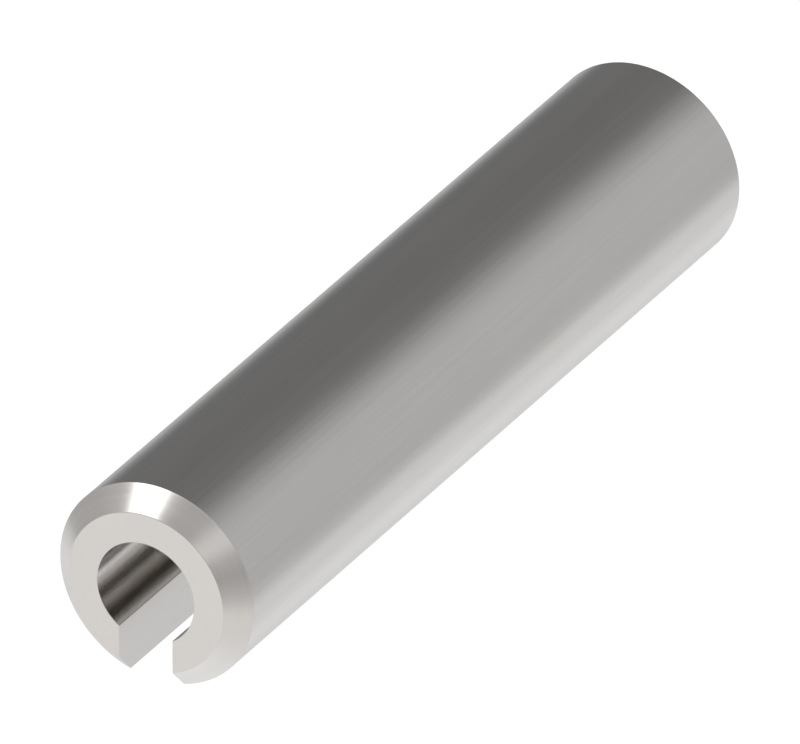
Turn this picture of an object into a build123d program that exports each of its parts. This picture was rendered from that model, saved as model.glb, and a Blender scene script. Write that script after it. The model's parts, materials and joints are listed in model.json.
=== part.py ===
"""A slotted spring pin, also called a roll pin: one strip of spring steel rolled into an open tube.

The pin lies along X, centred on the origin, and its slot opens downwards, towards -Z.
Pressed into a drilled hole, the tube closes its slot a little and grips the hole by its own spring.
The chamfer at each end leads it in, and the bore and the slot run through from end to end.
Lengths are in millimetres and angles in degrees.
"""

from build123d import *
from math import radians, tan
import os

# The pin as it is before fitting
pin_length = 30.0
outer_diameter = 6.55
wall_thickness = 1.64
slot_width = 1.8

# The chamfer that leads each end into its hole, measured along the axis and against the axis
lead_in_length = 0.66
lead_in_angle = 45.0

# How far the slot's cutting block runs past the tube on every open side
cut_overrun = 1.0

outer_radius = outer_diameter / 2
bore_radius = outer_radius - wall_thickness
lead_in_depth = lead_in_length * tan(radians(lead_in_angle))
half_length = pin_length / 2


def wall_profile():
    """The wall's lengthwise section, drawn on the slot's side so that no seam is left on the tube."""
    shank_end = half_length - lead_in_length
    tip_radius = outer_radius - lead_in_depth
    outline = Polyline(
        (-half_length, -bore_radius),
        (-half_length, -tip_radius),
        (-shank_end, -outer_radius),
        (shank_end, -outer_radius),
        (half_length, -tip_radius),
        (half_length, -bore_radius),
        close=True,
    )
    return Plane.XZ * make_face(outline)


def slot_block():
    """The block that opens the slot: flat parallel sides, from the bore out through the wall."""
    depth = outer_radius + cut_overrun
    return Pos(0, 0, -depth / 2) * Box(pin_length + 2 * cut_overrun, slot_width, depth)


def spring_pin():
    """The closed tube with its two chamfers, opened along its whole length by the slot."""
    tube = revolve(wall_profile(), axis=Axis.X)
    return tube - slot_block()


os.makedirs("parts", exist_ok=True)
export_step(spring_pin(), "parts/spring_pin.step")
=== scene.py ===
"""The looks of a slotted spring pin: its finished steel, a pale floor and a plain soft studio.

The pin lies along X, centred on the origin, with its slot down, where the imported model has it.
Its mesh is worked out in millimetres and then placed in metres.
"""

import bmesh
import bpy
import json
from math import asin, cos, pi, radians, sin, sqrt
from mathutils import Matrix, Vector


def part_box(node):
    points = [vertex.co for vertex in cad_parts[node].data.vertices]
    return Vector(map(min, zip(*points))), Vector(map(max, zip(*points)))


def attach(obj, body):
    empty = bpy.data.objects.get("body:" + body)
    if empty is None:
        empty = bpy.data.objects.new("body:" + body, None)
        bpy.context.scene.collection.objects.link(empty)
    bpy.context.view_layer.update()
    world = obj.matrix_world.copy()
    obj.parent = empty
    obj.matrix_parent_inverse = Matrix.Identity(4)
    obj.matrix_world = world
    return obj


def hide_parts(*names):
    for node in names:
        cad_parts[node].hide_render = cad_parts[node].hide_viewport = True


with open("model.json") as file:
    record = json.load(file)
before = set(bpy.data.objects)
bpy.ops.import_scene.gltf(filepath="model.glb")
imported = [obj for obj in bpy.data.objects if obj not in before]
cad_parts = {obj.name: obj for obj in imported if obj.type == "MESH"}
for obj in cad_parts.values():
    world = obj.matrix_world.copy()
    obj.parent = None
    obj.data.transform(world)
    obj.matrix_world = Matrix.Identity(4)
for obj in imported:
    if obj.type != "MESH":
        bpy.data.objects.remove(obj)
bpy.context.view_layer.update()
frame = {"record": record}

MM = 0.001
NODE = "spring_pin"

# The pin's sizes, in millimetres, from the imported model
mounts = {mount["name"]: mount for mount in frame["record"]["mounts"]}
outer_radius = mounts["press_fit_shank"]["dims"]["r_mm"]
shank_length = mounts["press_fit_shank"]["dims"]["length_mm"]
bore_radius = mounts["through_bore"]["dims"]["r_mm"]
pin_length = mounts["through_bore"]["dims"]["length_mm"]
lead_in_length = (pin_length - shank_length) / 2
tip_radius = outer_radius - lead_in_length

# The pin stands on the two edges of its slot, so their height gives the slot's half width
floor_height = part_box(NODE)[0].z / MM
slot_half_width = sqrt(outer_radius**2 - floor_height**2)

# How finely the mesh follows the round tube, and how far its edges are broken, in millimetres
steps_round = 192
steps_along = 40
edge_break = 0.012
edge_break_steps = 3
edge_angle = radians(30)

# The steel's colour, and its reflection's tint at a grazing angle
steel_colour = (0.68, 0.655, 0.63)
steel_edge_tint = (0.82, 0.83, 0.84)

# The steel's finishes: lines along the drawn strip, rings on the turned chamfers, fine grain on the cut ends.
# Each has its marks per millimetre along the pin, across and up, their depth in millimetres and a roughness
finishes = {
    "drawn_steel": ((0.12, 11, 11), 0.0004, 0.185),
    "turned_steel": ((12, 0.2, 0.2), 0.0004, 0.2),
    "cut_steel": ((9, 9, 9), 0.0003, 0.2),
}
DRAWN, TURNED, CUT = range(3)

# The fineness of the marks and of wider soft clouds, and how far they change the steel's tone and roughness
mark_detail, mark_tone, mark_gloss = 3, 0.02, 0.02
clouds_per_mm = (0.25, 0.4, 0.4)
cloud_detail, cloud_tone, cloud_gloss = 2, 0.01, 0.015

# The two levels that most of a noise lies between
noise_low, noise_high = 0.3, 0.7


def ring(x, radius):
    """Points round the tube at one place along it, from one side of the slot to the other."""
    slot_edge = asin(slot_half_width / radius)
    turn = (2 * pi - 2 * slot_edge) / steps_round
    angles = [slot_edge + turn * step for step in range(steps_round + 1)]
    return [Vector((x, radius * sin(angle), -radius * cos(angle))) for angle in angles]


def stations():
    """Places along the pin, each with the outside radius that the pin has there."""
    shank = [shank_length * (step / steps_along - 0.5) for step in range(steps_along + 1)]
    places = [(x, outer_radius) for x in shank]
    return [(-pin_length / 2, tip_radius), *places, (pin_length / 2, tip_radius)]


def tube_skin():
    """The open tube as one closed skin, with sharp edges and a finish for each face."""
    bm = bmesh.new()
    outside = [[bm.verts.new(point) for point in ring(x, radius)] for x, radius in stations()]
    inside = [[bm.verts.new(point) for point in ring(x, bore_radius)] for x, _ in stations()]

    def quad(finish, *corners):
        bm.faces.new(corners).material_index = finish

    last = len(outside) - 1
    for i in range(last):
        outer, next_outer = outside[i:i + 2]
        inner, next_inner = inside[i:i + 2]
        outer_finish = TURNED if i in (0, last - 1) else DRAWN
        for j in range(steps_round):
            quad(outer_finish, outer[j], outer[j + 1], next_outer[j + 1], next_outer[j])
            quad(DRAWN, inner[j], next_inner[j], next_inner[j + 1], inner[j + 1])
        for side in (0, steps_round):
            quad(DRAWN, outer[side], next_outer[side], next_inner[side], inner[side])
    for end in (0, last):
        outer, inner = outside[end], inside[end]
        for j in range(steps_round):
            quad(CUT, outer[j], inner[j], inner[j + 1], outer[j + 1])
    bmesh.ops.recalc_face_normals(bm, faces=bm.faces)
    return bm


def pin_mesh():
    """The tube's mesh, with its edges broken and a normal at each point that keeps flats flat."""
    bm = tube_skin()
    sharp = [edge for edge in bm.edges if edge.calc_face_angle() > edge_angle]
    # With material -1, a broken edge takes the finish beside it
    bmesh.ops.bevel(bm, geom=sharp, offset=edge_break, offset_type="OFFSET", affect="EDGES",
                    segments=edge_break_steps, profile=0.5, material=-1, clamp_overlap=True)
    for face in bm.faces:
        face.smooth = True
    bm.verts.index_update()
    normals = []
    for vert in bm.verts:
        pull = sum((face.normal * face.calc_area() for face in vert.link_faces), Vector())
        normals.append(pull.normalized())
    mesh = bpy.data.meshes.new("spring_pin_finished")
    bm.to_mesh(mesh)
    bm.free()
    mesh.transform(Matrix.Scale(MM, 4))
    mesh.normals_split_custom_set_from_vertices(normals)
    return mesh


def feed(tree, target, inputs):
    """Sets a node's inputs to plain values, or links them to other nodes' outputs."""
    for name, value in inputs.items():
        if isinstance(value, bpy.types.NodeSocket):
            tree.links.new(value, target.inputs[name])
        else:
            target.inputs[name].default_value = value


def node(tree, kind, inputs, **settings):
    """A new shader node with its settings made and its inputs fed."""
    made = tree.nodes.new(kind)
    for name, value in settings.items():
        setattr(made, name, value)
    feed(tree, made, inputs)
    return made


def faded(tree, value, gone, full, most):
    """A share that rises smoothly, from 0 at one level of a value to its most at another level."""
    inputs = {"Value": value, "From Min": gone, "From Max": full, "To Max": most}
    return node(tree, "ShaderNodeMapRange", inputs, interpolation_type="SMOOTHSTEP").outputs[0]


def pattern(tree, marks_per_mm, detail):
    """A noise over the pin, from 0 to 1, with so many marks in each millimetre along, across and up."""
    place = node(tree, "ShaderNodeTexCoord", {}).outputs["Object"]
    marks_per_metre = [marks / MM for marks in marks_per_mm]
    stretch = node(tree, "ShaderNodeMapping", {"Vector": place, "Scale": marks_per_metre})
    inputs = {"Vector": stretch.outputs["Vector"], "Scale": 1, "Detail": detail}
    return node(tree, "ShaderNodeTexNoise", inputs).outputs["Fac"]


def spread(tree, noise, low, high):
    """The middle of a noise, where most of it lies, stretched between two levels."""
    inputs = {"Value": noise, "From Min": noise_low, "From Max": noise_high, "To Min": low, "To Max": high}
    return node(tree, "ShaderNodeMapRange", inputs).outputs["Result"]


def varied(tree, middle, marks, by_marks, clouds, by_clouds):
    """A value that the marks and the clouds raise and lower a little."""
    inputs = {
        0: spread(tree, marks, -by_marks, by_marks),
        1: spread(tree, clouds, middle - by_clouds, middle + by_clouds),
    }
    return node(tree, "ShaderNodeMath", inputs, operation="ADD").outputs[0]


def steel(name, marks_per_mm, mark_depth, roughness):
    """Satin spring steel with fine marks of one kind. They differ a little in tone, gloss and height."""
    material = bpy.data.materials.new(name)
    material.use_nodes = True
    tree = material.node_tree
    marks = pattern(tree, marks_per_mm, mark_detail)
    clouds = pattern(tree, clouds_per_mm, cloud_detail)
    tone = varied(tree, 1, marks, mark_tone, clouds, cloud_tone)
    colour = node(tree, "ShaderNodeVectorMath", {0: steel_colour, "Scale": tone}, operation="SCALE")
    bump = node(tree, "ShaderNodeBump", {"Height": marks, "Distance": mark_depth * MM})
    feed(tree, tree.nodes["Principled BSDF"], {
        "Metallic": 1,
        "Specular Tint": (*steel_edge_tint, 1),
        "Base Color": colour.outputs["Vector"],
        "Roughness": varied(tree, roughness, marks, mark_gloss, clouds, cloud_gloss),
        "Normal": bump.outputs["Normal"],
    })
    return material


def finished_pin():
    """The pin, with drawn steel along its strip, turned steel on its chamfers and cut steel on its ends."""
    mesh = pin_mesh()
    for name, (marks_per_mm, mark_depth, roughness) in finishes.items():
        mesh.materials.append(steel(name, marks_per_mm, mark_depth, roughness))
    pin = bpy.data.objects.new("spring_pin_finished", mesh)
    bpy.context.scene.collection.objects.link(pin)
    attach(pin, "root")
    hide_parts(NODE)


def direction(azimuth, elevation):
    """The way to a place: azimuth from +X towards +Y, and height above the horizon, in degrees."""
    flat = cos(radians(elevation))
    return Vector((flat * cos(radians(azimuth)), flat * sin(radians(azimuth)), sin(radians(elevation))))


# The studio seen from the pin. Each soft patch lies over those before it, and has its place, the angle from
# its middle that it fills, the angle at which it has faded out, its brightness, where 1 is white, and its
# warmth. The words beside it say what mirrors it in the photograph's view. Half of the patches, the room's
# brightness and the steel's two colours began as a fit to the photograph's tones, and were then rounded
# and changed
room_brightness, room_warmth = 0.526, 0
patches = (
    # azimuth, elevation, full to, gone at, brightness, warmth
    (-14, 5, 39, 67, 0.604, -0.018),  # the shank's lower half, pale and cool
    (32, 31, 28, 60.6, 0.214, 0),  # the shank's dark top
    (25, 34, 0, 24, 0.196, 0.005),  # the darkest band in the shank's top
    (41, 8, 0, 14, 0.212, -0.03),  # the cooler dark along the shank's far side
    (-125, 1, 0, 12, 0.44, 0),  # the darker place on the right of the front chamfer
    (223, 30, 3, 18.7, 0.87, 0),  # the pale place above it, from light behind the camera
    (100, -84, 57, 80, 1.06, 0),  # the cut end, from the floor's white
    (-36, -76, 31, 43, 1.24, -0.013),  # the foot of the chamfer, from the floor's brighter middle
    (-92, -46, 0, 58, 0.912, 0),  # the lower right of the chamfer
    (-28, -33, 0, 15, 0.965, -0.013),  # the slot's side
    (83, -11, 0, 10, 0.55, 0),  # the dark place on the left of the chamfer
    (62, -28, 0, 12, 1.15, 0),  # the pale place below it
    (35, -24, 4, 12, 0.56, 0),  # the shank's upper left outline
    (31, -38, 13, 19, 0.96, 0),  # both outlines of the shank, a little dimmer than white
    (30, -30, 1.5, 4, 1.14, 0),  # the white straight behind the pin, which the camera sees
    (106, 24, 0, 14, 0.585, 0),  # the chamfer beside its highlight
    (131, 51, 16, 32, 0.7, 0),  # the highlight's soft edge
    (131, 51, 13.7, 17.7, 2.485, 0),  # the highlight on the chamfer, from the key light
)

# The places of a Mix node's colours among its inputs and outputs, where a name alone doesn't tell them apart
COLOUR_BEFORE, COLOUR_AFTER, COLOUR_OUT = 6, 7, 2


def tinted(brightness, warmth):
    """A light's colour, from its brightness and how far it leans towards warm, or towards cool below 0."""
    return (brightness * (1 + warmth), brightness, brightness * (1 - warmth), 1)


def studio():
    """The world: a pale room with a few soft patches, the widest of them the white of the floor."""
    world = bpy.data.worlds.new("studio")
    bpy.context.scene.world = world
    world.use_nodes = True
    tree = world.node_tree
    look = node(tree, "ShaderNodeTexCoord", {}).outputs["Generated"]
    light = tinted(room_brightness, room_warmth)
    for azimuth, elevation, full, gone, brightness, warmth in patches:
        towards = {0: look, 1: direction(azimuth, elevation)}
        dot = node(tree, "ShaderNodeVectorMath", towards, operation="DOT_PRODUCT")
        angle = node(tree, "ShaderNodeMath", {0: dot.outputs["Value"]}, operation="ARCCOSINE")
        share = faded(tree, angle.outputs[0], radians(gone), radians(full), 1)
        colours = {"Factor": share, COLOUR_BEFORE: light, COLOUR_AFTER: tinted(brightness, warmth)}
        light = node(tree, "ShaderNodeMix", colours, data_type="RGBA").outputs[COLOUR_OUT]
    feed(tree, tree.nodes["Background"], {"Color": light})


# The floor is a pale pane just under the pin. Its own paleness takes the shadow, and the white below shows
# through. Its sizes are in metres
pane_half_side = 0.3
pane_gap = 0.002 * MM
pane_colour = (0.9, 0.9, 0.9, 1)
pane_share = 0.15
pane_full_to, pane_gone_at = 0.03, 0.12


def floor():
    """A pale pane that the pin lies on. It takes the pin's soft shadow, and fades out far from the pin."""
    side, height = pane_half_side, floor_height * MM - pane_gap
    corners = [(-side, -side, height), (side, -side, height), (side, side, height), (-side, side, height)]
    mesh = bpy.data.meshes.new("floor")
    mesh.from_pydata(corners, [], [(0, 1, 2, 3)])
    pane = bpy.data.objects.new("floor", mesh)
    bpy.context.scene.collection.objects.link(pane)

    material = bpy.data.materials.new("floor")
    material.use_nodes = True
    tree = material.node_tree
    tree.nodes.clear()
    place = node(tree, "ShaderNodeTexCoord", {}).outputs["Object"]
    far = node(tree, "ShaderNodeVectorMath", {0: place}, operation="LENGTH").outputs["Value"]
    share = faded(tree, far, pane_gone_at, pane_full_to, pane_share)
    clear = node(tree, "ShaderNodeBsdfTransparent", {}).outputs[0]
    paper = node(tree, "ShaderNodeBsdfDiffuse", {"Color": pane_colour}).outputs[0]
    mix = node(tree, "ShaderNodeMixShader", {"Fac": share, 1: clear, 2: paper}).outputs[0]
    node(tree, "ShaderNodeOutputMaterial", {"Surface": mix})
    mesh.materials.append(material)


# The camera looks down on the slotted front end through a long lens, with the whole pin across the frame.
# It sees from near to far, in metres
view_azimuth, view_elevation = 210, 30
lens_mm, sensor_mm = 1500, 36
frame_width = 23.568
aim = Vector((-0.16, 0.01, 0.01))
sight_near, sight_far = 0.1, 3


def camera():
    """The photograph's view, with the aim and the frame's width in millimetres."""
    eye = bpy.data.cameras.new("camera")
    eye.lens = lens_mm
    eye.sensor_width = sensor_mm
    eye.clip_start = sight_near
    eye.clip_end = sight_far
    place = bpy.data.objects.new("camera", eye)
    distance = frame_width * lens_mm / sensor_mm
    place.location = (aim + direction(view_azimuth, view_elevation) * distance) * MM
    place.rotation_euler = (radians(90 - view_elevation), 0, radians(view_azimuth + 90))
    bpy.context.scene.collection.objects.link(place)
    bpy.context.scene.camera = place


camera()
finished_pin()
floor()
studio()
bpy.context.scene.view_settings.view_transform = "Standard"
